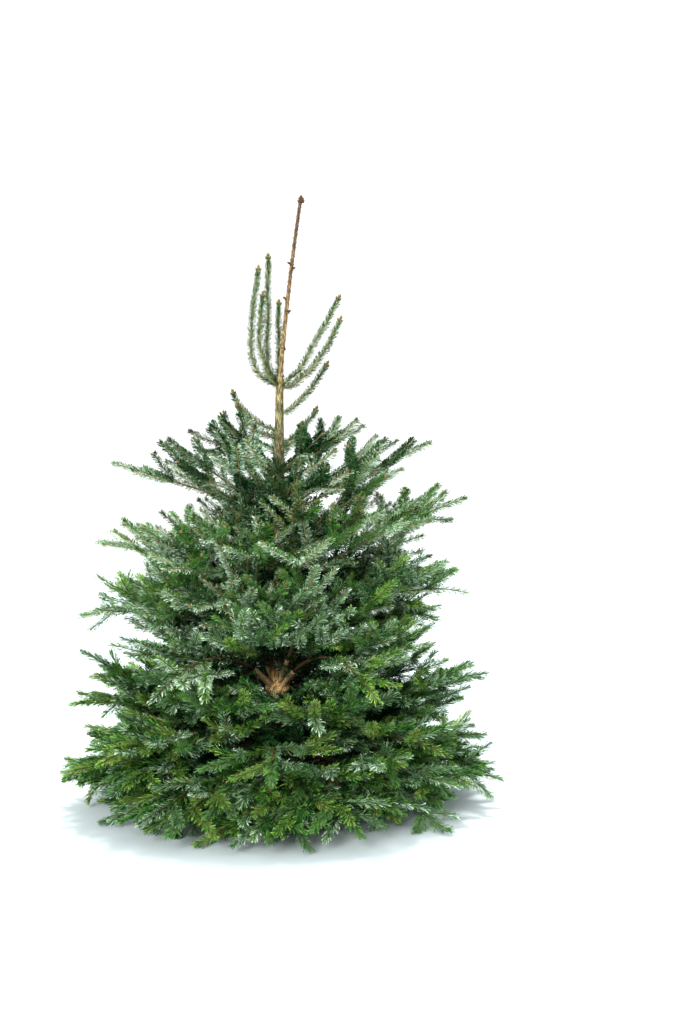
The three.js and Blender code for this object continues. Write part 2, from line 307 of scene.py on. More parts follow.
def add_bump(tree, shader, pattern, strength, distance):
    bump = tree.nodes.new("ShaderNodeBump")
    bump.inputs["Strength"].default_value = strength
    bump.inputs["Distance"].default_value = distance
    link(tree, pattern, "Fac", bump, "Height")
    link(tree, bump, "Normal", shader, "Normal")


def grained(name, roughness, grain, stops, bump):
    """A material whose colours and bumps both follow one noise."""
    material, tree, shader = principled(name, roughness)
    pattern = noise(tree, **grain)
    colours = ramp(tree, stops)
    link(tree, pattern, "Fac", colours, "Fac")
    link(tree, colours, "Color", shader, "Base Color")
    add_bump(tree, shader, pattern, **bump)
    return material


# Colours of the trunk by shares of its height, with the tan node of the fifth whorl near 0.18, made
# bright as painted light where it lies in the crown's shade, and the shades of its streaks
BARK_BY_HEIGHT_WITH_PAINTED_LIGHT = [
    (0.00, (0.10, 0.075, 0.05)), (0.155, (0.16, 0.10, 0.055)), (0.17, (0.78, 0.55, 0.30)),
    (0.19, (0.62, 0.42, 0.21)), (0.22, (0.12, 0.08, 0.045)), (0.56, (0.15, 0.135, 0.075)),
    (0.64, (0.20, 0.180, 0.095)), (0.68, (0.25, 0.205, 0.10)), (0.72, (0.28, 0.20, 0.095)),
    (0.80, (0.22, 0.145, 0.07)), (0.88, (0.14, 0.085, 0.045)), (1.00, (0.10, 0.058, 0.035)),
]
BARK_STREAKS = [(0.36, (0.34, 0.34, 0.32)), (0.50, (0.88, 0.88, 0.85)), (0.64, (2.0, 1.9, 1.75))]


def bark_material():
    """Bark that is dark brown inside the crown, olive-gold above it and dark again at the leader's
    tip, with upright streaks."""
    material, tree, shader = principled("bark", 0.85)
    place = tree.nodes.new("ShaderNodeTexCoord")
    split = tree.nodes.new("ShaderNodeSeparateXYZ")
    link(tree, place, "Object", split, "Vector")
    height = tree.nodes.new("ShaderNodeMapRange")
    height.inputs["From Max"].default_value = cad_high.z
    link(tree, split, "Z", height, "Value")
    by_height = ramp(tree, BARK_BY_HEIGHT_WITH_PAINTED_LIGHT)
    link(tree, height, "Result", by_height, "Fac")
    streaks = noise(tree, scale=150, detail=5, stretch=(1, 1, 0.25))
    shade = ramp(tree, BARK_STREAKS)
    link(tree, streaks, "Fac", shade, "Fac")
    mix = tree.nodes.new("ShaderNodeMix")
    mix.data_type = "RGBA"
    mix.blend_type = "MULTIPLY"
    mix.inputs["Factor"].default_value = 1
    link(tree, by_height, "Color", mix, "A")
    link(tree, shade, "Color", mix, "B")
    link(tree, mix, "Result", shader, "Base Color")
    add_bump(tree, shader, streaks, strength=0.5, distance=0.002)
    return material


def limb_material_with_painted_light():
    """Orange-brown bark of the boughs, scaly with old leaf scars, brightened as painted light."""
    stops = [(0.30, (0.30, 0.20, 0.10)), (0.50, (0.68, 0.48, 0.25)), (0.70, (0.92, 0.74, 0.46))]
    return grained("young_bark", 0.8, dict(scale=140, detail=5, stretch=(1, 1, 1)), stops,
                   dict(strength=0.5, distance=0.0015))


def wood_material():
    """Plain sawn softwood with its grain lying level."""
    stops = [(0.32, (0.36, 0.22, 0.10)), (0.68, (0.62, 0.44, 0.24))]
    return grained("stand_wood", 0.7, dict(scale=26, detail=6, stretch=(0.35, 0.35, 5)), stops,
                   dict(strength=0.3, distance=0.001))


# Plain tints of the needles: deep, middle, bright, yellowish, grey, two silvery ones and olive
DEEP, MIDDLE, BRIGHT, YELLOW, GREY, SILVER, PALE, OLIVE = range(8)
NEEDLE_COLOURS = {
    "deep_green": (0.004, 0.030, 0.017),
    "green": (0.043, 0.152, 0.036),
    "bright_green": (0.150, 0.330, 0.060),
    "yellow_green": (0.330, 0.460, 0.110),
    "grey_green": (0.190, 0.300, 0.160),
    "silver": (0.820, 0.930, 0.830),
    "silver_green": (0.420, 0.560, 0.390),
    "olive": (0.210, 0.215, 0.090),
}
NEEDLE_TINTS = [plain(f"needle_{name}", colour, 0.5, 0.12) for name, colour in NEEDLE_COLOURS.items()]
# The tints of a spray's needles. A tint that stands twice is dealt out twice as often.
SPRAY_TINTS = {
    "pale": [(MIDDLE, GREY, DEEP), (DEEP, DEEP, MIDDLE), (OLIVE, MIDDLE, DEEP), (DEEP, MIDDLE)],
    "mixed": [(MIDDLE, GREY, BRIGHT), (BRIGHT, MIDDLE, DEEP), (GREY, MIDDLE, PALE), (DEEP, MIDDLE, OLIVE)],
    "full": [(MIDDLE, BRIGHT, GREY), (BRIGHT, YELLOW, MIDDLE), (GREY, MIDDLE, PALE), (MIDDLE, DEEP, GREY)],
    "lush": [(MIDDLE, BRIGHT, DEEP), (BRIGHT, YELLOW, MIDDLE, DEEP), (GREY, BRIGHT, MIDDLE),
             (GREY, PALE, MIDDLE, DEEP), (GREY, GREY, MIDDLE), (YELLOW, BRIGHT, OLIVE, MIDDLE)],
    "inner": [(GREY, MIDDLE, DEEP), (MIDDLE, DEEP, DEEP), (GREY, PALE, MIDDLE, DEEP)],
    # Dark tints for old sprays, and as painted shade for sprays deep inside the crown
    "old": [(DEEP, DEEP, MIDDLE), (MIDDLE, DEEP, DEEP), (MIDDLE, GREY, DEEP)],
}
UNDERSIDE_TINTS = {
    "pale": (SILVER, PALE, PALE, GREY, GREY),
    "mixed": (SILVER, PALE, PALE, PALE, GREY),
    "full": (SILVER, PALE, PALE, GREY, GREY),
    "lush": (SILVER, PALE, PALE, GREY, GREY, MIDDLE),
    "inner": (PALE, GREY, GREY, MIDDLE, DEEP),
}
UPSWEPT_TINTS = (OLIVE, MIDDLE, DEEP)
UPSWEPT_OUTER_TINTS = (OLIVE, OLIVE, GREY, GREY, PALE, MIDDLE, DEEP, DEEP)
ORANGE_TWIG, TAN_TWIG, BROWN_TWIG, GREEN_TWIG = range(4)
TWIG_TINTS = [
    plain("twig_orange", (0.340, 0.240, 0.095), 0.7),
    plain("twig_tan", (0.360, 0.320, 0.140), 0.7),
    plain("twig_brown", (0.110, 0.070, 0.035), 0.8),
    plain("twig_green", (0.110, 0.115, 0.035), 0.8),
]
DARK_BUD, OLIVE_BUD = 2, 3
BUD_TINTS = [
    plain("bud_orange", (0.300, 0.200, 0.095), 0.55),
    plain("bud_brown", (0.200, 0.130, 0.065), 0.6),
    plain("bud_dark", (0.090, 0.052, 0.028), 0.6),
    plain("bud_olive", (0.180, 0.150, 0.070), 0.6),
]
# Limb tints: old bark brightened as painted light, young bark, a darker copy as painted shade, stubs
OLD_LIMB_PAINTED_LIGHT, YOUNG_LIMB, SHADED_LIMB, LIMB_STUB = range(4)
LIMB_TINTS = [
    limb_material_with_painted_light(),
    plain("limb_young", (0.240, 0.180, 0.080), 0.8),
    plain("limb_shaded", (0.130, 0.090, 0.045), 0.8),
    plain("limb_stub", (0.400, 0.280, 0.140), 0.8),
]
TRUNK_BARK, TRUNK_STUB = range(2)
TRUNK_TINTS = [bark_material(), TWIG_TINTS[BROWN_TWIG]]
WOOD = wood_material()


def placed(name, data):
    """A new object in the scene."""
    thing = bpy.data.objects.new(name, data)
    bpy.context.scene.collection.objects.link(thing)
    return thing


# Joined meshes

class Pile:
    """Points and faces gathered for one piece, with a material number for each face."""

    def __init__(self):
        self.points, self.faces, self.tints = [], {3: [], 4: []}, {3: [], 4: []}
        self.count = 0

    def add(self, points, tint, *faces):
        """Each of faces has 3 or 4 numbers a row, counted from the first of these points."""
        for rows in faces:
            rows = np.asarray(rows)
            sides = rows.shape[1]
            self.faces[sides].append(rows + self.count)
            self.tints[sides].append(np.broadcast_to(tint, len(rows)))
        self.points.append(points)
        self.count += len(points)

    def piece(self, name, materials, slot, replaced, smooth):
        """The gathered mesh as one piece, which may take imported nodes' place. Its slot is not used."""
        mesh = bpy.data.meshes.new(name)
        points = np.concatenate(self.points).astype(np.float32)
        kinds = [k for k in (3, 4) if self.faces[k]]
        faces = {k: np.concatenate(self.faces[k]) for k in kinds}
        totals = np.concatenate([np.full(len(faces[k]), k) for k in kinds])
        loops = np.concatenate([faces[k].ravel() for k in kinds])
        mesh.vertices.add(len(points))
        mesh.vertices.foreach_set("co", points.ravel())
        mesh.loops.add(len(loops))
        mesh.loops.foreach_set("vertex_index", loops.astype(np.int32))
        mesh.polygons.add(len(totals))
        starts = np.concatenate([[0], np.cumsum(totals)[:-1]])
        mesh.polygons.foreach_set("loop_start", starts.astype(np.int32))
        mesh.polygons.foreach_set("loop_total", totals.astype(np.int32))
        tints = np.concatenate([np.concatenate(self.tints[k]) for k in kinds])
        mesh.polygons.foreach_set("material_index", tints.astype(np.int32))
        mesh.polygons.foreach_set("use_smooth", np.full(len(totals), smooth))
        for material in materials:
            mesh.materials.append(material)
        mesh.update(calc_edges=True)
        piece = placed(name, mesh)
        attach(piece, "root")
        if replaced:
            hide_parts(*replaced)
        print(f"{name}: {int((totals - 2).sum())} triangles")


def tube(pile, line, radii, sides, tint, relief=None):
    """A closed tube through a line of points. A relief has a factor of the radius for each point."""
    axes = unit(np.gradient(line, axis=0))
    over = upward_of(axes)
    across = np.cross(axes, over)
    turn = np.arange(sides) * 2 * math.pi / sides
    ring = np.cos(turn)[None, :, None] * across[:, None] + np.sin(turn)[None, :, None] * over[:, None]
    size = np.asarray(radii)[:, None] * (np.ones((1, sides)) if relief is None else relief)
    points = (line[:, None] + ring * size[..., None]).reshape(-1, 3)
    points = np.concatenate([points, line[:1], line[-1:]])
    rows = len(line)
    i, j = np.meshgrid(np.arange(rows - 1), np.arange(sides), indexing="ij")
    a, b = i * sides + j, i * sides + (j + 1) % sides
    walls = np.stack([a, b, b + sides, a + sides], -1).reshape(-1, 4)
    k = np.arange(sides)
    after, top = (k + 1) % sides, (rows - 1) * sides
    ends = np.concatenate([
        np.stack([after, k, np.full(sides, rows * sides)], 1),
        np.stack([top + k, top + after, np.full(sides, rows * sides + 1)], 1),
    ])
    pile.add(points, tint, walls, ends)


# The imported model, measured

# The bands of points that a measure takes. The last is a share of the reach.
RING_BAND = 2e-4
FOOT_BAND = 0.02
TIP_BAND = 0.01
MIDDLE_BAND = 0.08


def packed(start):
    """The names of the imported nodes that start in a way."""
    return [name for name in sorted(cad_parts) if name.startswith(start)]


def points_of(node):
    return np.array([v.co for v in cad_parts[node].data.vertices])


def innermost_height(points, centre):
    """The height of the points that lie nearest to the upright line through a centre."""
    out = np.linalg.norm(points[:, :2] - centre[:2], axis=1)
    return float(points[out < out.min() + FOOT_BAND, 2].mean())


def trunk_rings():
    """Height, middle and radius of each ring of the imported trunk."""
    points = points_of("trunk")
    rings = []
    for height in np.unique(np.round(points[:, 2], 4)):
        ring = points[np.abs(points[:, 2] - height) < RING_BAND]
        low, high = ring.min(0), ring.max(0)
        middle = (low + high) / 2
        rings.append((height, middle[0], middle[1], (high[0] - low[0]) / 2))
    return np.array(rings)


TRUNK = trunk_rings()


def trunk_at(height):
    """The trunk's middle and radius at a height."""
    x, y, radius = (np.interp(height, TRUNK[:, 0], TRUNK[:, k]) for k in (1, 2, 3))
    return np.array([x, y, height]), float(radius)


class Fan:
    """Where one packed mass of foliage points, how far it reaches and how high it lies."""

    def __init__(self, node):
        points = points_of(node)
        self.centre = trunk_at(float(np.median(points[:, 2])))[0]
        flat = points[:, :2] - self.centre[:2]
        out = np.linalg.norm(flat, axis=1)
        tip = points[out > out.max() - TIP_BAND].mean(0)
        self.reach = float(out.max())
        self.away = unit((tip - self.centre) * np.array([1.0, 1.0, 0.0]))
        self.tip_height = float(tip[2])
        along = flat @ self.away[:2]
        middle = points[np.abs(along - self.reach / 2) < MIDDLE_BAND * self.reach, 2]
        self.middle_height = float(middle.max() + middle.min()) / 2
        self.foot_height = self.height_at_trunk(points, node.replace("needles", "bough"))

    def height_at_trunk(self, points, bough):
        """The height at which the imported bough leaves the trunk, or the mass if it has no bough."""
        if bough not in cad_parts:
            return innermost_height(points, self.centre)
        bough_points = points_of(bough)
        return innermost_height(bough_points, trunk_at(float(bough_points[:, 2].min()))[0])

    def bough_line(self, arch):
        """The middle line of its bough, from inside the trunk to the tip of the mass."""
        middle, radius = trunk_at(self.foot_height)
        start = middle + self.away * radius * BOUGH_ROOT
        end = self.centre + self.away * self.reach
        end[2] = self.tip_height
        half = (start + end) / 2
        half[2] = self.middle_height + arch
        return bezier(start, 2 * half - (start + end) / 2, end, BOUGH_POINTS)

    def share_out(self, place):
        """How far out a place is, as a share of the mass's reach."""
        return float(np.linalg.norm((place - self.centre)[:2])) / self.reach

    def room(self, start, heading):
        """How far a branch can go before it passes the furthest reach of the mass."""
        place = (start - self.centre)[:2]
        flat = heading[:2]
        a, b = flat @ flat, place @ flat
        c = place @ place - self.reach ** 2
        if a < 1e-6 or c > 0:
            return SHORTEST_SHOOT
        return (-b + math.sqrt(b * b - a * c)) / a


# Growth

class Shoot:
    """One year's growth: its line, its age in years, its order, its radii, its place between the
    trunk, 0, and the crown's outside, 1, and whether it has lost its needles."""

    def __init__(self, line, age, order, radii, out=1.0):
        self.line, self.age, self.order, self.radii, self.out = line, age, order, radii, out
        self.bare = False


def curved(start, heading, length, rise, sway):
    """A line that leaves in a direction and turns upwards and sideways along its length."""
    steps = max(3, int(length / BRANCH_STEP))
    points, here, direction = [start], start, unit(heading)
    side = unit(np.cross(direction, UP))
    for k in range(steps):
        bent = direction + UP * math.radians(rise) * (k + 0.5) / steps
        bent = bent + side * math.radians(sway) * math.sin(3 * k / steps)
        here = here + unit(bent) * length / steps
        points.append(here)
    return np.array(points)


def branch(shoots, line, years, order, growth, radius, fan):
    """Cuts a branch into yearly shoots and grows side branches at the years' ends."""
    length = line_length(line)
    ends = yearly_ends(length, years, growth["step"] * LEADING_SHARE if order == 0 else 0)
    radii = np.linspace(radius, SHOOT_TIP_RADIUS, years + 1)
    for k in range(years):
        count = max(3, int(length * (ends[k + 1] - ends[k]) / YEAR_STEP) + 2)
        piece, _ = sample(line, np.linspace(ends[k], ends[k + 1], count))
        shoots.append(Shoot(piece, years - k, order, (radii[k], radii[k + 1]), fan.share_out(piece[-1])))
    if order >= growth["orders"]:
        return
    for k in range(1, years):
        node, axis = sample(line, np.array([ends[k]]))
        shaded = SHADED_LOSS * (years - k - 1) / SHADED_YEARS * (order > 0)
        for turn, scale in node_turns(growth, order):
            if rng.random() > shaded:
                side_branch(shoots, node[0], axis[0], turn, scale, years - k, order + 1, growth, fan)


def yearly_ends(length, years, step):
    """The years' ends as shares of a branch's length. With a step, the oldest year takes the rest."""
    pace = rng.uniform(*UNEVEN_YEARS, years)
    if step and length > step * years:
        pace[0] += (length - step * years) / step
    return np.concatenate([[0.0], np.cumsum(pace) / pace.sum()])


def node_turns(growth, order):
    """Which way round the axis the side shoots of a node leave, and how strong they are.
    0 is to one side, 90 above, 180 to the other side and 270 below. Those to the sides are strongest."""
    turns = [(rng.uniform(-18, 22), 1.0), (180 + rng.uniform(-22, 18), 1.0)]
    chance = growth["more"] / (1 + order)
    if rng.random() < chance:
        turns.append((90 + rng.uniform(-35, 35), 0.8))
    if rng.random() < chance:
        turns.append((270 + rng.uniform(-35, 35), 0.75))
    return turns


def side_branch(shoots, node, axis, turn, strength, years, order, growth, fan):
    """One side branch from a node, with its own years and side branches."""
    over = upward_of(axis[None])[0]
    across = np.cross(axis, over)
    aside = math.cos(math.radians(turn)) * across + math.sin(math.radians(turn)) * over
    spread = growth["spread"] + rng.uniform(-8, 8)
    heading = unit(tilted(axis, aside, spread) + UP * rng.uniform(-0.04, 0.16))
    grown = sum(YEARLY_SHARE ** k for k in range(years))
    length = growth["step"] * grown * strength * VIGOUR ** order * rng.uniform(0.82, 1.12)
    room = fan.room(node, heading) * rng.uniform(0.90, 1.02)
    if order == 1:
        length += growth["fill"] * min(max(0.0, room - length), length / 2)
    length = min(length, room)
    while years > 1 and length / years < SHORTEST_SHOOT:
        years -= 1
    if length < SHORTEST_SHOOT * 0.8:
        return
    line = curved(node, heading, length, growth["rise"] * rng.uniform(0.3, 1.7), rng.uniform(-8, 8))
    line[:, 2] = np.maximum(line[:, 2], LOWEST_TWIG)
    radius = SHOOT_TIP_RADIUS + RADIUS_PER_YEAR * (years - 1)
    branch(shoots, line, years, order, growth, radius, fan)


# Needles

def needle_count(shoot, foliage):
    """How many needles a shoot has left, by its age and by the light at its place."""
    light = min(1.0, max(0.0, (shoot.out - DARKEST_WITHIN) / LIGHT_GROWS_OVER))
    lit = foliage["inner"] + (1 - foliage["inner"]) * light
    left = NEEDLES_LEFT[min(shoot.age, max(NEEDLES_LEFT))]
    return int(line_length(shoot.line) * foliage["per_metre"] * left * lit)


def needle_sizes(foliage, at, parted, rise):
    """Lengths of needles, which are shorter on top of a shoot and at its two ends."""
    size = foliage["length"] * rng.uniform(*NEEDLE_SIZES, len(at))
    size = size * np.where(parted, 1 - 0.15 * rise, 0.9)
    return size * np.minimum(1, 0.6 + 6 * at) * np.minimum(1, 0.75 + 5 * (1 - at))


def needle_corners(base, needle, size, facing, foliage, age):
    """Three or four corners for each needle, a blade that is turned a little and folded lengthways."""
    facing = unit(facing - np.sum(facing * needle, -1, keepdims=True) * needle)
    broad = np.cross(needle, facing)
    twist = rng.normal(0, NEEDLE_TWIST, len(base))[:, None]
    broad, facing = unit(broad + twist * facing), unit(facing - twist * broad)
    half = broad * foliage["width"] / 2 * (OLD_NEEDLE_WIDENING if age > YOUNG_NEEDLE_YEARS else 1)
    tip = base + needle * size[:, None]
    fold = facing * NEEDLE_FOLD
    ends = [tip + half * 0.8, tip - half - fold]
    if foliage["slim"]:
        corners = np.stack([base, *ends], 1)
    else:
        corners = np.stack([base - half * 0.5, base + half * 0.5 - fold, *ends], 1)
    corners[..., 2] = np.maximum(corners[..., 2], LOWEST_NEEDLE)
    return corners


def lay_needles(pile, shoot, foliage, upper_tints, lower_tints):
    """The needles of one shoot, as slender blades, parted to its sides and standing up along its top."""
    count = needle_count(shoot, foliage)
    if count < FEWEST_NEEDLES:
        return
    at = (np.arange(count) + rng.random(count)) / count
    base, axis = sample(shoot.line, at)
    over = upward_of(axis)
    across = np.cross(axis, over)
    parted = (rng.random(count) < foliage["parted"]) & (np.abs(axis[:, 2]) < STEEP)
    parted_lift = PARTED_FROM + PARTED_RANGE * rng.random(count) ** 1.5
    lift = np.radians(np.where(parted, parted_lift, rng.uniform(-90, 90, count)))
    rise = np.sin(np.maximum(lift, 0))
    side = np.where(rng.random(count) < 0.5, -1.0, 1.0)
    round_twig = (np.cos(lift) * side)[:, None] * across + np.sin(lift)[:, None] * over
    lean = foliage["lean"] - np.where(parted, LEAN_LOSS * rise, UNPARTED_LEAN_LOSS)
    lean = np.radians(lean + rng.normal(0, LEAN_SCATTER, count) - LEAN_LOSS * at ** 3)[:, None]
    needle = unit(np.cos(lean) * axis + np.sin(lean) * round_twig)
    size = needle_sizes(foliage, at, parted, rise)
    facing = np.where(parted[:, None], over, -round_twig)
    corners = needle_corners(base + round_twig * shoot.radii[1], needle, size, facing, foliage, shoot.age)
    below = (np.sin(lift) < 0.5) & (rng.random(count) < 0.8)
    tint = np.where(below, rng.choice(lower_tints, count), rng.choice(upper_tints, count))
    sides = corners.shape[1]
    first = np.arange(count)[:, None] * sides
    pile.add(corners.reshape(-1, 3), tint, first + np.arange(sides))


# Buds

# A bud is widest at a share of its length, with a radius that is a share of its length too. The
# smaller ones of a cluster have a share of the first one's length, and start a share of it further back.
BUD_BELLY_AT = 0.5
BUD_BELLY = 0.36
SMALLER_BUD = 0.85
SMALLER_BUD_BACK = 0.3
BUD_ROOT = 0.001
CLUSTER_BUD_SIZE = 0.0135
LONE_BUD_SIZE = 0.0095


def bud(pile, at, heading, size, tint, sides):
    """One pointed bud."""
    over = upward_of(heading[None])[0]
    across = np.cross(heading, over)
    turn = np.arange(sides)[:, None] * 2 * math.pi / sides
    round_bud = np.cos(turn) * over + np.sin(turn) * across
    belly = at + heading * size * BUD_BELLY_AT + round_bud * size * BUD_BELLY
    points = np.concatenate([[at, at + heading * size], belly])
    k = np.arange(sides)
    after = (k + 1) % sides
    back = np.stack([np.zeros(sides, int), 2 + after, 2 + k], 1)
    front = np.stack([np.ones(sides, int), 2 + k, 2 + after], 1)
    pile.add(points, tint, back, front)


def bud_cluster(pile, tip, heading, size, around, sides=4, tint=None, upright=0.7):
    """A bud at a shoot's tip with smaller ones around it, which point more or less upwards."""
    over = upward_of(heading[None])[0]
    across = np.cross(heading, over)
    if tint is None:
        tint = int(rng.integers(len(BUD_TINTS)))
    bud(pile, tip - heading * BUD_ROOT, heading, size, tint, sides)
    start = rng.uniform(0, math.pi)
    for k in range(around):
        turn = start + k * 2 * math.pi / around
        aside = unit(heading * upright + across * math.cos(turn) + over * math.sin(turn))
        bud(pile, tip - heading * size * SMALLER_BUD_BACK, aside, size * SMALLER_BUD, tint, sides)


def buds_at_tip(pile, shoot, rich):
    """A cluster of buds at the tip of a shoot of open foliage, and one small bud at others."""
    heading = unit(shoot.line[-1] - shoot.line[-2])
    if rich:
        bud_cluster(pile, shoot.line[-1], heading, CLUSTER_BUD_SIZE, around=4)
    else:
        bud_cluster(pile, shoot.line[-1], heading, LONE_BUD_SIZE, around=0, sides=3)


# Pieces

def old_or_painted_shade_inside(foliage, shoot):
    """Whether a shoot is old, or deep enough in the crown to get dark tints as painted shade."""
    aged = shoot.age > YOUNG_NEEDLE_YEARS and foliage != "pale"
    return aged or shoot.out < FOLIAGE[foliage]["dark"]


# Old twigs are dull brown, and as painted shade so are the inner sprays' twigs and those deep inside
def dull_twigs_of_age_or_painted_shade(foliage, shoot):
    return shoot.age > YOUNG_TWIG_YEARS or foliage == "inner" or old_or_painted_shade_inside(foliage, shoot)


def shows_underside(foliage, shoot):
    # Sprays that are old, or painted dark as shade deep inside, never show silvery undersides
    return not old_or_painted_shade_inside(foliage, shoot) and rng.random() < FOLIAGE[foliage]["silver"]


def spray_tints(foliage, shoot, silvery):
    """The tints of a spray's upper and of its lower needles."""
    # Old sprays, and as painted shade those deep inside the crown, take the dark tints
    choices = SPRAY_TINTS["old" if old_or_painted_shade_inside(foliage, shoot) else foliage]
    upper = choices[int(rng.integers(len(choices)))]
    return upper, UNDERSIDE_TINTS[foliage] if silvery else upper


def twig_tint(foliage, shoot, silvery):
    """Twigs show their tan bark below silvery needles on the open boughs, and are dull elsewhere."""
    if dull_twigs_of_age_or_painted_shade(foliage, shoot):
        return BROWN_TWIG
    if silvery and foliage in OPEN_FOLIAGE:
        return ORANGE_TWIG if rng.random() < 0.5 else TAN_TWIG
    return GREEN_TWIG


def lay_twig(pile, shoot, foliage, silvery):
    """The twig of one shoot, finer where the foliage is open."""
    if foliage in OPEN_FOLIAGE and shoot.order == 1:
        sides, line = 4, shoot.line
    else:
        sides, line = 3, shoot.line[[0, len(shoot.line) // 2, -1]]
    tube(pile, line, np.linspace(*shoot.radii, len(line)), sides, twig_tint(foliage, shoot, silvery))


def in_passage(shoot):
    """Whether a shoot's middle or tip would hide the fifth whorl's limbs from the front."""
    points = shoot.line[[len(shoot.line) // 2, -1]]
    outwards = -points[:, 1]
    aside = np.abs(points[:, 0] - PASSAGE_FOOT[0] - PASSAGE_DRIFT[0] * outwards)
    over = points[:, 2] - PASSAGE_FOOT[1] - PASSAGE_DRIFT[1] * outwards
    above_limbs = over > PASSAGE_SLOPE * aside - PASSAGE_MARGIN
    inside = (outwards > 0.02) & above_limbs & (over < PASSAGE_HEIGHT) & (aside < PASSAGE_HALF_WIDTH)
    return bool(inside.any())


def hides_trunk(shoot):
    """Whether a shoot would hide from the front the stretch of trunk that shows above the crown."""
    aside = np.abs(shoot.line[:, 0] - trunk_at(BARE_TRUNK[0])[0][0])
    level = (shoot.line[:, 2] > BARE_TRUNK[0]) & (shoot.line[:, 2] < BARE_TRUNK[1])
    return bool((level & (aside < BARE_TRUNK_ASIDE) & (shoot.line[:, 1] < 0)).any())


def clear_passage(shoots):
    """Leaves out the side shoots in the passage and before the bare trunk. The boughs themselves
    pass through the passage bare."""
    for shoot in shoots:
        shoot.bare = in_passage(shoot)
    return [s for s in shoots if s.order == 0 or not (s.bare or hides_trunk(s))]


def dress_limb(pile, shoot, foliage):
    """A year of a bough: old with stubs of needles and painted light, or dull with painted shade, or young.
    """
    radii = np.linspace(*shoot.radii, len(shoot.line))
    # Old bark brightened as painted light; in dense foliage a darker tint as painted shade
    if shoot.radii[0] > OLD_LIMB_RADIUS and foliage != "lush":
        tube(pile, shoot.line, radii, 8, OLD_LIMB_PAINTED_LIGHT)
        stubbed = Shoot(shoot.line, 2, 0, shoot.radii)
        lay_needles(pile, stubbed, FOLIAGE["stubs"], (LIMB_STUB,), (LIMB_STUB,))
    elif foliage in ("full", "lush"):
        tube(pile, shoot.line, radii, 6, SHADED_LIMB)
    else:
        tube(pile, shoot.line, radii, 5, YOUNG_LIMB)


def dress(name, foliage, boughs, replaced_limbs):
    """Limbs, needles, twigs and buds of a whorl, as pieces. A bough is (replaced node or None, shoots),
    and boughs that replace no node have their needles in one piece."""
    twigs, buds, limbs, loose = Pile(), Pile(), Pile(), Pile()
    for index, (node, shoots) in enumerate(boughs, 1):
        needles = Pile() if node else loose
        for shoot in shoots:
            if shoot.order == 0:
                dress_limb(limbs, shoot, foliage)
            if shoot.bare:
                continue
            silvery = shows_underside(foliage, shoot)
            lay_needles(needles, shoot, FOLIAGE[foliage], *spray_tints(foliage, shoot, silvery))
            if shoot.age == 1:
                buds_at_tip(buds, shoot, foliage in OPEN_FOLIAGE)
            if shoot.order:
                lay_twig(twigs, shoot, foliage, silvery)
        if node:
            needles.piece(f"sprays_{name}_{index}", NEEDLE_TINTS, slot_of(foliage), [node], False)
    if loose.count:
        loose.piece(f"sprays_{name}", NEEDLE_TINTS, slot_of(foliage), None, False)
    if limbs.count:
        limbs.piece(f"limbs_{name}", LIMB_TINTS, "young_bark", replaced_limbs, True)
    twigs.piece(f"twigs_{name}", TWIG_TINTS, "young_bark", None, True)
    buds.piece(f"buds_{name}", BUD_TINTS, "young_bark", None, False)


def slot_of(foliage):
    return "pale_needles" if foliage == "pale" else "needles"


def dress_whorl(whorl, growth):
    """The boughs of one whorl, each grown along its packed mass of needles."""
    reseed(growth["seed"])
    fans, boughs = [], []
    for node in packed(f"needles_{whorl}_"):
        fan = Fan(node)
        shoots = []
        branch(shoots, fan.bough_line(growth["arch"]), growth["years"], 0, growth, growth["foot"], fan)
        boughs.append((node, clear_passage(shoots)))
        fans.append(fan)
    dress(whorl, growth["foliage"], boughs, packed(f"bough_{whorl}_"))
    return fans


def clear_of_front(turn, opening):
    """An azimuth, moved aside where it lies in the opening that is left in front."""
    aside = (turn - FRONT + 180) % 360 - 180
    if abs(aside) >= opening:
        return turn
    return FRONT + math.copysign(opening + abs(aside) / 2, aside)


def dress_between(between, fans):
    """Single boughs from the trunk between two whorls, shorter than the whorls' own."""
    reseed(between["seed"])
    growth = WHORLS[between["below"]]
    low = fans[between["below"]][0].foot_height
    high = fans[between["above"]][0].foot_height
    boughs = []
    turn = rng.uniform(0, 360)
    for k in range(between["count"]):
        turn += GOLDEN_TURN
        share = (k + 0.5) / between["count"] * BETWEEN_SPAN + BETWEEN_FROM
        away = outward(clear_of_front(turn, between["opening"]))
        near = nearest_fan(fans[between["below"]], away)
        reach = near.reach * rng.uniform(*between["reach"])
        climb = (near.tip_height - low) * between["climb"] * rng.uniform(0.75, 1.25)
        middle, radius = trunk_at(low + (high - low) * share)
        end = middle + away * reach + UP * climb
        end[2] = max(end[2], LOWEST_TIP)
        half = (middle + end) / 2 + UP * BETWEEN_ARCH * reach
        line = bezier(middle + away * radius * BOUGH_ROOT, half, end, SINGLE_BOUGH_POINTS)
        shoots = []
        branch(shoots, line, between["years"], 0, growth, between["foot"], near)
        boughs.append((None, clear_passage(shoots)))
    dress(between["name"], growth["foliage"], boughs, None)


def nearest_fan(whorl_fans, away):
    return max(whorl_fans, key=lambda fan: float(fan.away @ away))


def dress_front(fans):
    """The steep boughs of the fifth whorl in front of the trunk."""
    reseed(SEEDS["front"])
    growth = WHORLS["w4"]
    boughs = []
    for bough in FRONT_BOUGHS:
        away = outward(bough["azimuth"])
        middle, radius = trunk_at(bough["foot"])
        start = middle + away * radius * BOUGH_ROOT
        end = middle + away * bough["reach"]
        end[2] = bough["tip"]
        line = bezier(start, (start + end) / 2 - UP * FRONT_BOUGH_SAG, end, SINGLE_BOUGH_POINTS)
        near = nearest_fan(fans["w5"], away)
        shoots = []
        branch(shoots, line, FRONT_BOUGH_YEARS, 0, growth, FRONT_BOUGH_RADIUS, near)
        boughs.append((None, clear_passage(shoots)))
    dress("front", growth["foliage"], boughs, None)


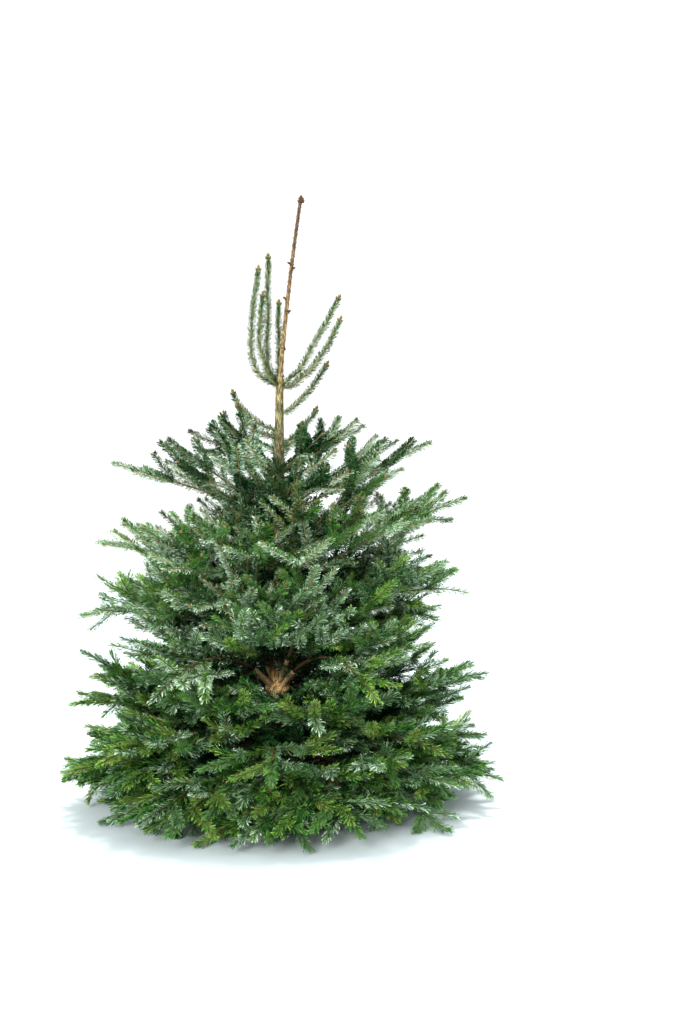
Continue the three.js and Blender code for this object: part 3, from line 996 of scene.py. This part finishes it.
def dress_inner(fans):
    """Short shoots on the trunk, all round it, in the crown's dark inside."""
    reseed(SEEDS["inner"])
    growth = WHORLS["w5"]
    shoots = []
    for _ in range(INNER_SPRAYS):
        middle, radius = trunk_at(rng.uniform(*INNER_HEIGHTS))
        away = outward(rng.uniform(0, 360))
        heading = away + UP * rng.uniform(0.1, 0.9)
        start = middle + away * radius * SPRAY_ROOT
        line = curved(start, heading, rng.uniform(*INNER_LENGTHS), growth["rise"], 0)
        near = nearest_fan(fans["w5"], away)
        branch(shoots, line, INNER_YEARS, 1, growth, 2 * SHOOT_TIP_RADIUS, near)
    kept = [s for s in shoots if s.line[0, 2] > NODE_CLEAR_HEIGHT or not in_passage(s)]
    dress("inner", "inner", [(None, kept)], None)


# Shoots at the foot of the leader and single shoots on the trunk

# A packed shoot is measured in slices of some nearest points
SLICES = 16
POINTS_OF_SLICE = 10
ABOVE_FOOT = 0.02
BELOW_TIP = 0.005
FOOT_MIDDLE = 0.012
# The line through the slices
SMOOTHINGS = 3
SHOOT_POINTS = 36
# The twig's radii at its foot and tip, and how far from its middle the needles start
SHOOT_TWIG_RADII = (0.0055, 0.0038)
SHOOT_NEEDLES_FROM = 0.003
SHOOT_BUD_SIZE = 0.026


def shoot_line(node):
    """The middle line of a packed upswept shoot, by slices across its way out and up."""
    points = points_of(node)
    foot, radius = trunk_at(float(points[:, 2].min() + FOOT_MIDDLE))
    out = np.linalg.norm(points[:, :2] - foot[:2], axis=1)
    way = out + points[:, 2]
    middles = []
    for level in np.linspace(way.min() + ABOVE_FOOT, way.max() - BELOW_TIP, SLICES):
        nearest = np.argsort(np.abs(way - level))[:POINTS_OF_SLICE]
        middles.append(points[nearest].mean(0))
    away = unit((middles[0] - foot) * np.array([1, 1, 0]))
    return np.array([foot + away * radius * SHOOT_ROOT, *middles])


def smoothed(line):
    """A line with evenly set points and its small kinks taken out."""
    for _ in range(SMOOTHINGS):
        line = np.concatenate([line[:1], (line[:-2] + line[1:-1] * 2 + line[2:]) / 4, line[-1:]])
    points, _ = sample(line, np.linspace(0, 1, SHOOT_POINTS))
    return points


def single_shoots():
    """The shoots that stand alone, and all the buds of the leader."""
    reseed(SEEDS["leader"])
    needles, twigs, buds = Pile(), Pile(), Pile()
    names = packed("leader_shoot_") + packed("trunk_shoot_")
    for name in names:
        line = smoothed(shoot_line(name))
        shoot = Shoot(line[:-1], 1, 1, (SHOOT_TWIG_RADII[0], SHOOT_NEEDLES_FROM))
        lay_needles(needles, shoot, FOLIAGE["upswept"], UPSWEPT_TINTS, UPSWEPT_OUTER_TINTS)
        tube(twigs, line, np.linspace(*SHOOT_TWIG_RADII, len(line)), 6, TAN_TWIG)
        heading = unit(line[-1] - line[-2])
        bud_cluster(buds, line[-1], heading, SHOOT_BUD_SIZE, around=5, tint=OLIVE_BUD)
    leader_buds(buds)
    needles.piece("sprays_leader", NEEDLE_TINTS, "pale_needles", names, False)
    twigs.piece("twigs_leader", TWIG_TINTS, "young_bark", None, True)
    buds.piece("buds_leader", BUD_TINTS, "young_bark", None, False)


# The trunk and its leader

# Where the crown ends and where the leader starts, and the rows of points below, between and above
CROWN_TOP = 1.5
LEADER_FOOT = 1.98
CROWN_ROWS, BARE_ROWS, LEADER_ROWS = 90, 110, 330
TRUNK_SIDES = 28
LEADER_TIP_RADIUS = 0.009
# Three waves of bark ridges: how many round the trunk, and how high as shares of the radius
RIDGE_WAVES = ((5, 0.035), (9, 0.03), (14, 0.025))
RIDGE_DRIFT = 0.10
BARK_ROUGHNESS = 0.02
BARK_SUNKEN = 0.03
# The leader's scars of old needles, the last two as shares of the radius
SCAR_STEP = 0.0050
SCAR_SIZE = 0.0036
SCAR_HEIGHT = 0.32
SCAR_SUNKEN = 0.12
# The trunk's swelling where the fifth whorl's boughs leave it: its height, its share of the radius
# and how far it fades out above and below
NODE_HEIGHT = 0.522
NODE_SWELLING = 0.6
NODE_SPREAD = 0.024

# The leader's side buds, each by its height and azimuth, and the size of the cluster at its tip
LEADER_BUDS = ((2.566, 195), (2.541, 335), (2.398, 190), (2.334, 345), (2.155, 300))
SIDE_BUD_SIZE = 0.020
TIP_BUD_SIZE = 0.026
# The two rings of buds at the leader's tip: how far below it, and how upright
TIP_BUDS = ((0.013, 1.2), (0.019, 0.5))
# The stretches of trunk and leader that are set with stubs of old needles
STUB_STRETCHES = ((CROWN_TOP, 1.75), (1.75, LEADER_FOOT), (LEADER_FOOT, 2.40), (2.40, 2.83))
STRETCH_POINTS = 8
STUB_ROOT = 0.9


def leader_buds(pile):
    """The buds along the leader, three together, and the cluster at its tip."""
    for height, azimuth in LEADER_BUDS:
        middle, radius = trunk_at(height)
        away = outward(azimuth)
        foot = middle + away * radius * SPRAY_ROOT
        bud_cluster(pile, foot, unit(away + UP * 0.5), SIDE_BUD_SIZE, around=2, tint=DARK_BUD)
    tip, _ = trunk_at(float(TRUNK[-1, 0]))
    for drop, upright in TIP_BUDS:
        bud_cluster(pile, tip - UP * drop, UP, TIP_BUD_SIZE, around=7, sides=6, tint=DARK_BUD,
                    upright=upright)


def trunk_stubs(pile):
    """Stubs of old needles that stand out from the young trunk and the leader."""
    for low, high in STUB_STRETCHES:
        line = np.array([trunk_at(height)[0] for height in np.linspace(low, high, STRETCH_POINTS)])
        radius = trunk_at((low + high) / 2)[1]
        stretch = Shoot(line, 1, 0, (radius, radius * STUB_ROOT))
        lay_needles(pile, stretch, FOLIAGE["bristles"], (TRUNK_STUB,), (TRUNK_STUB,))


def bark_ridges(heights, turn):
    """Uneven upright ridges of the bark, as shares of the radius."""
    ridges = np.zeros((len(heights), len(turn)))
    for wave, share in RIDGE_WAVES:
        drift = np.cumsum(rng.normal(0, RIDGE_DRIFT, len(heights)))
        ridges += share * np.sin(wave * turn[None] + drift[:, None])
    return ridges + BARK_ROUGHNESS * rng.normal(0, 1, ridges.shape) - BARK_SUNKEN


def leaf_scars(heights, turn, radii):
    """Small knobs on a spiral round the leader, as shares of the radius."""
    levels = np.arange(LEADER_FOOT, heights[-1], SCAR_STEP)
    turns = np.radians(GOLDEN_TURN) * np.arange(len(levels))
    rise = (heights[:, None] - levels[None]) / SCAR_SIZE
    apart = np.angle(np.exp(1j * (turn[:, None] - turns[None])))
    near = np.exp(-rise[:, None] ** 2 - (apart[None] * radii[:, None, None] / SCAR_SIZE) ** 2)
    return SCAR_HEIGHT * near.max(-1) - SCAR_SUNKEN


def trunk_piece():
    """The trunk and leader with the bark's relief in the mesh."""
    reseed(SEEDS["trunk"])
    heights = np.concatenate([
        np.linspace(TRUNK[0, 0], CROWN_TOP, CROWN_ROWS, endpoint=False),
        np.linspace(CROWN_TOP, LEADER_FOOT, BARE_ROWS, endpoint=False),
        np.linspace(LEADER_FOOT, TRUNK[-1, 0], LEADER_ROWS),
    ])
    line = np.stack([np.interp(heights, TRUNK[:, 0], TRUNK[:, k]) for k in (1, 2)] + [heights], 1)
    radii = np.interp(heights, TRUNK[:, 0], TRUNK[:, 3])
    radii *= 1 + NODE_SWELLING * np.exp(-((heights - NODE_HEIGHT) / NODE_SPREAD) ** 2)
    near_tip = heights > TRUNK[-1, 0] - 3 * TIP_BUD_SIZE
    radii[near_tip] = np.minimum(radii[near_tip], LEADER_TIP_RADIUS)
    turn = np.arange(TRUNK_SIDES) * 2 * math.pi / TRUNK_SIDES
    relief = 1 + np.where(heights[:, None] < LEADER_FOOT, bark_ridges(heights, turn),
                          leaf_scars(heights, turn, radii))
    pile = Pile()
    tube(pile, line, radii, TRUNK_SIDES, TRUNK_BARK, relief)
    trunk_stubs(pile)
    pile.piece("trunk_bark", TRUNK_TINTS, "bark", ["trunk"], True)


def stand():
    """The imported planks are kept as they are, with the wood's material."""
    for name in ("stand_plank_lower", "stand_plank_upper"):
        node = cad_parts[name]
        node.data.materials.clear()
        node.data.materials.append(WOOD)


# Studio

FLOOR_HALF = 40
FLOOR_COLOUR = (0.57, 0.63, 0.66)
SKY_COLOUR = (0.97, 1.0, 0.99, 1)
SKY_STRENGTH = 1.04


def floor():
    """A wide level floor that fades into the bright sky."""
    mesh = bpy.data.meshes.new("floor")
    corners = [(-1, -1), (1, -1), (1, 1), (-1, 1)]
    mesh.from_pydata([(x * FLOOR_HALF, y * FLOOR_HALF, 0) for x, y in corners], [], [(0, 1, 2, 3)])
    piece = placed("floor", mesh)
    mesh.materials.append(plain("floor_white", FLOOR_COLOUR, roughness=0.9, specular=0.1))


def sun_light(name, towards, angle, power, colour):
    """A wide, even light from a direction."""
    data = bpy.data.lights.new(name, "SUN")
    data.angle = math.radians(angle)
    data.energy = power
    data.color = colour
    light = placed(name, data)
    light.rotation_euler = Vector(towards).to_track_quat("-Z", "Y").to_euler()


def studio():
    scene = bpy.context.scene
    world = bpy.data.worlds.new("studio")
    world.use_nodes = True
    sky = world.node_tree.nodes["Background"]
    sky.inputs["Color"].default_value = SKY_COLOUR
    sky.inputs["Strength"].default_value = SKY_STRENGTH
    scene.world = world
    scene.view_settings.view_transform = "Standard"
    scene.view_settings.look = "Medium High Contrast"
    floor()
    sun_light("overhead", towards=(-0.04, -0.34, -1), angle=14, power=3.6, colour=(1, 0.985, 0.95))
    sun_light("front", towards=(0.35, 0.9, -0.45), angle=25, power=3.1, colour=(1, 0.99, 0.97))


def camera():
    """A level camera that looks straight back."""
    data = bpy.data.cameras.new("camera")
    data.lens = LENS_MM
    data.sensor_width = SENSOR_MM
    view = placed("camera", data)
    view.location = CAMERA_AT
    view.rotation_euler = (math.radians(90), 0, 0)
    bpy.context.scene.camera = view


camera()
studio()
trunk_piece()
stand()
single_shoots()
fans = {whorl: dress_whorl(whorl, growth) for whorl, growth in WHORLS.items()}
for between in BETWEEN_WHORLS:
    dress_between(between, fans)
dress_front(fans)
dress_inner(fans)
